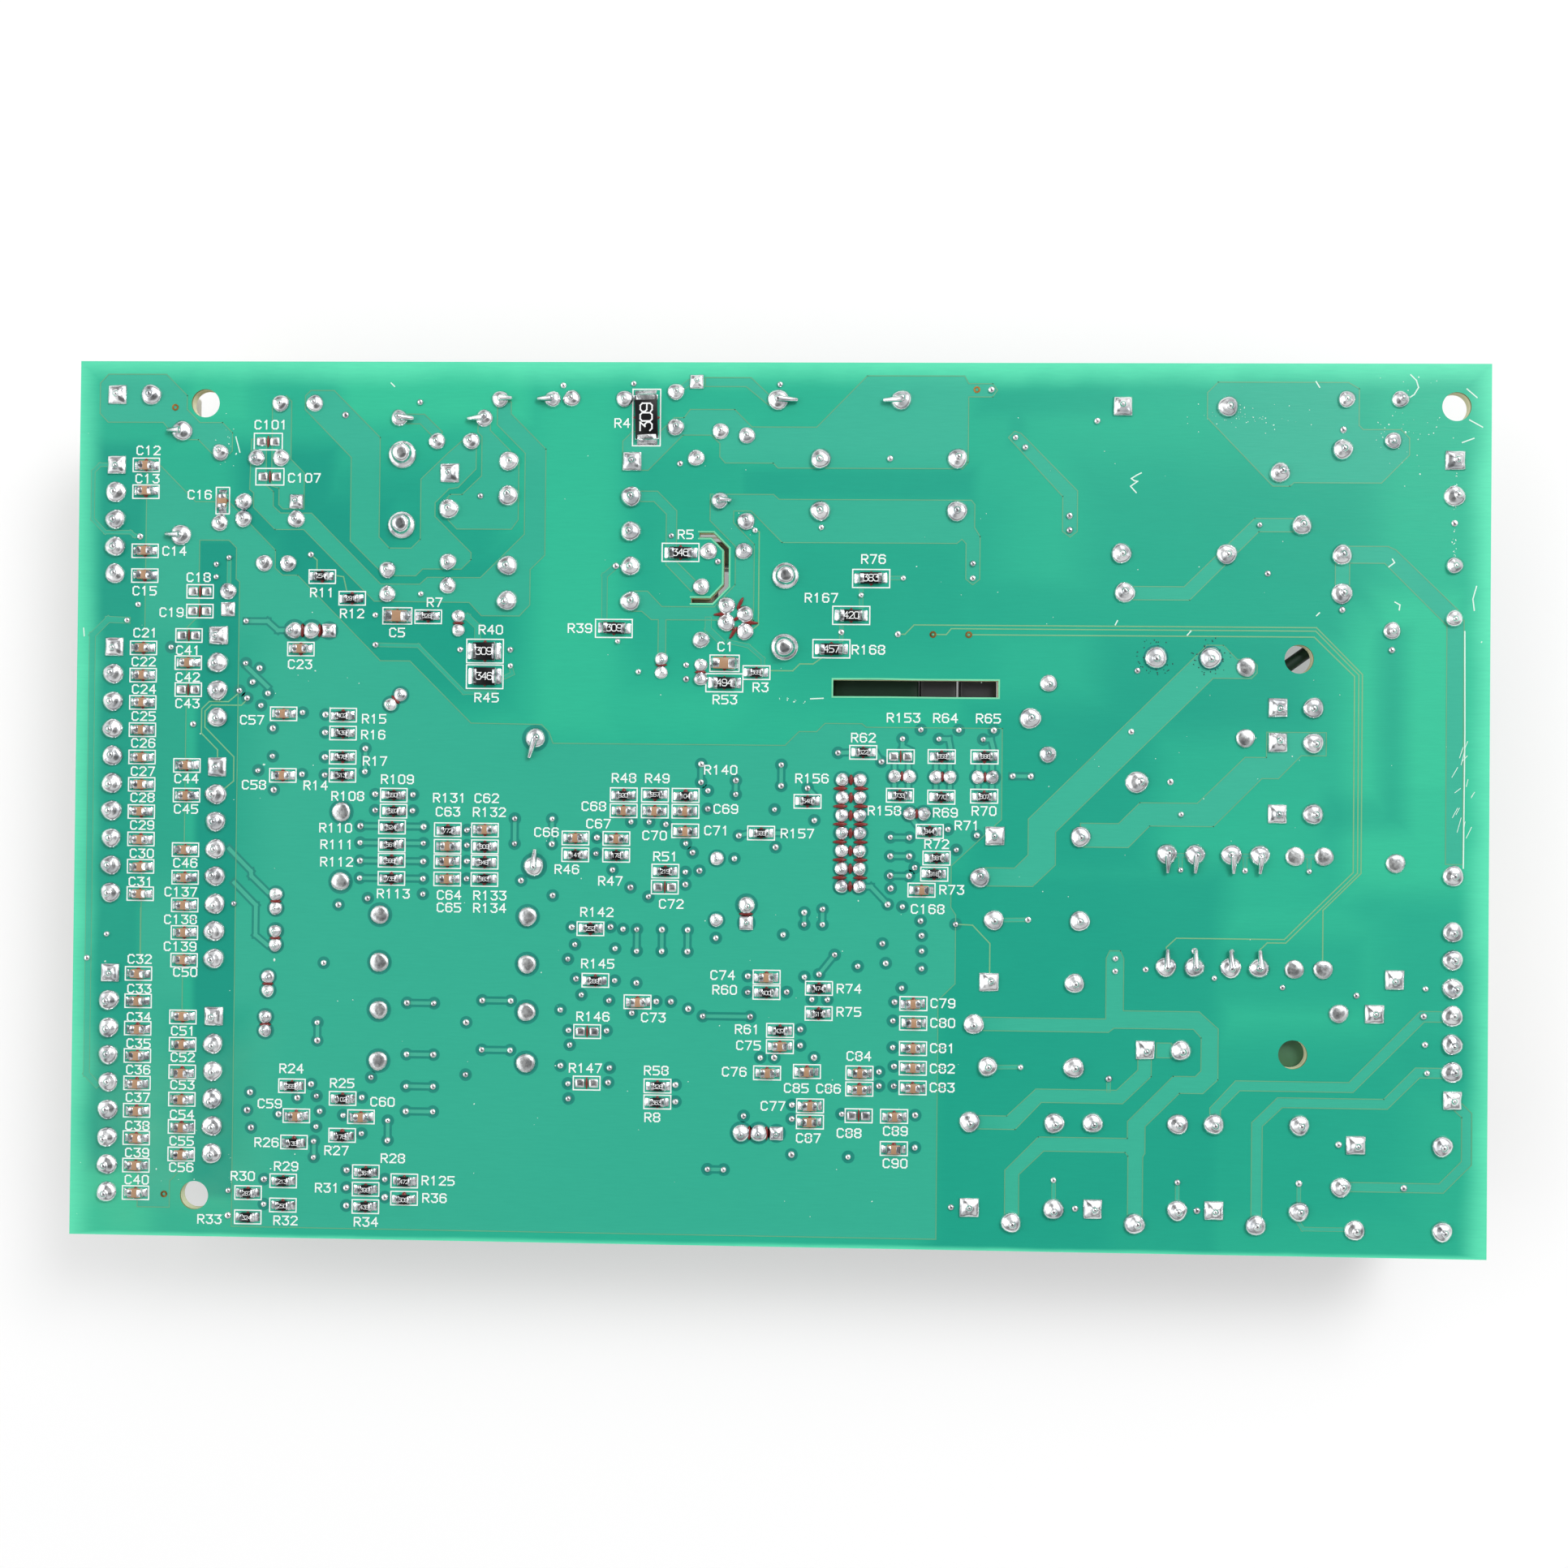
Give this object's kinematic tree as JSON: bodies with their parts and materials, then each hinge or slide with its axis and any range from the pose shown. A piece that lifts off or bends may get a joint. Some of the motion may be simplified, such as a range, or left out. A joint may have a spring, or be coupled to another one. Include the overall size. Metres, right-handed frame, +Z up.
{
  "type": "main control board",
  "caption": "Green two-layer control board of a heating appliance, resting on its relays and capacitors with the solder side up.",
  "frame": {"origin": "on the resting plane, below the centre of the board's rectangle", "axes": "+X along the board's long side, +Y towards its upper long edge, +Z up out of the solder side"},
  "size_m": [0.2028, 0.1266, 0.0223],
  "materials": {
    "board_laminate": "green solder mask over pale laminate",
    "copper_under_mask": "copper under green solder mask",
    "solder": "bright flowed solder",
    "chip_capacitor_ceramic": "tan ceramic",
    "chip_resistor_glaze": "black glaze",
    "connector_nylon": "natural nylon",
    "tinned_pin": "tinned",
    "black_moulding": "satin black",
    "white_moulding": "satin white",
    "relay_case": "black",
    "capacitor_sleeve": "shrunk sleeve",
    "capacitor_can": "plain aluminium",
    "heat_sink_aluminium": "plain sheet",
    "ferrite": "dull ferrite",
    "winding_tape": "polyester tape",
    "enamelled_wire": "enamelled copper",
    "film_capacitor_case": "moulded case",
    "resistor_coating": "lacquer",
    "blue_coating": "dipped coating",
    "green_coating": "dark green coating",
    "fuse_glass": "clear",
    "led_lens": "tinted lens",
    "potting_case": "potted black case"
  },
  "bodies": {
    "root": {"board_panel": "board_laminate", "copper_fields": "copper_under_mask", "solder_joints_large": "solder", "solder_joints_square": "solder", "solder_joints_medium": "solder", "solder_joints_small_square": "solder", "solder_joints_small": "solder", "solder_joints_heat_sink": "solder", "solder_joints_module": "solder", "solder_joints_flat": "solder", "chip_capacitors_left": "chip_capacitor_ceramic", "chip_capacitors": "chip_capacitor_ceramic", "chip_capacitors_long": "chip_capacitor_ceramic", "chip_resistors": "chip_resistor_glaze", "chip_resistors_long": "chip_resistor_glaze", "chip_resistors_wide": "chip_resistor_glaze", "chip_resistor_power": "chip_resistor_glaze", "connector_5_way": "connector_nylon", "connector_10_way": "connector_nylon", "connector_9_way": "connector_nylon", "connector_4_way": "connector_nylon", "connector_8_way": "connector_nylon", "connector_6_way": "connector_nylon", "connector_mains": "connector_nylon", "connector_pins": "tinned_pin", "terminals": "connector_nylon", "pin_header": "black_moulding", "pin_header_pins": "tinned_pin", "relays": "relay_case", "reservoir_capacitors": "capacitor_sleeve", "reservoir_capacitor_tops": "capacitor_can", "heat_sinks": "heat_sink_aluminium", "power_package_tabs": "tinned_pin", "power_packages": "black_moulding", "power_package_leads": "tinned_pin", "transformer_core": "ferrite", "transformer_winding": "winding_tape", "transformer_bobbin": "black_moulding", "choke_base": "black_moulding", "choke_core": "ferrite", "choke_winding": "enamelled_wire", "small_capacitors": "capacitor_sleeve", "film_capacitors": "film_capacitor_case", "axial_resistors": "resistor_coating", "axial_diodes": "black_moulding", "disc_capacitors": "blue_coating", "varistor": "blue_coating", "laid_varistor": "green_coating", "fuse_tube": "fuse_glass", "fuse_caps": "tinned_pin", "optocoupler": "white_moulding", "optocouplers_under_slot": "black_moulding", "green_block_under_slot": "green_coating", "microcontroller": "black_moulding", "transistors": "black_moulding", "led": "led_lens", "ignition_module": "potting_case", "sleeved_wires": "green_coating"}
  },
  "joints": []
}
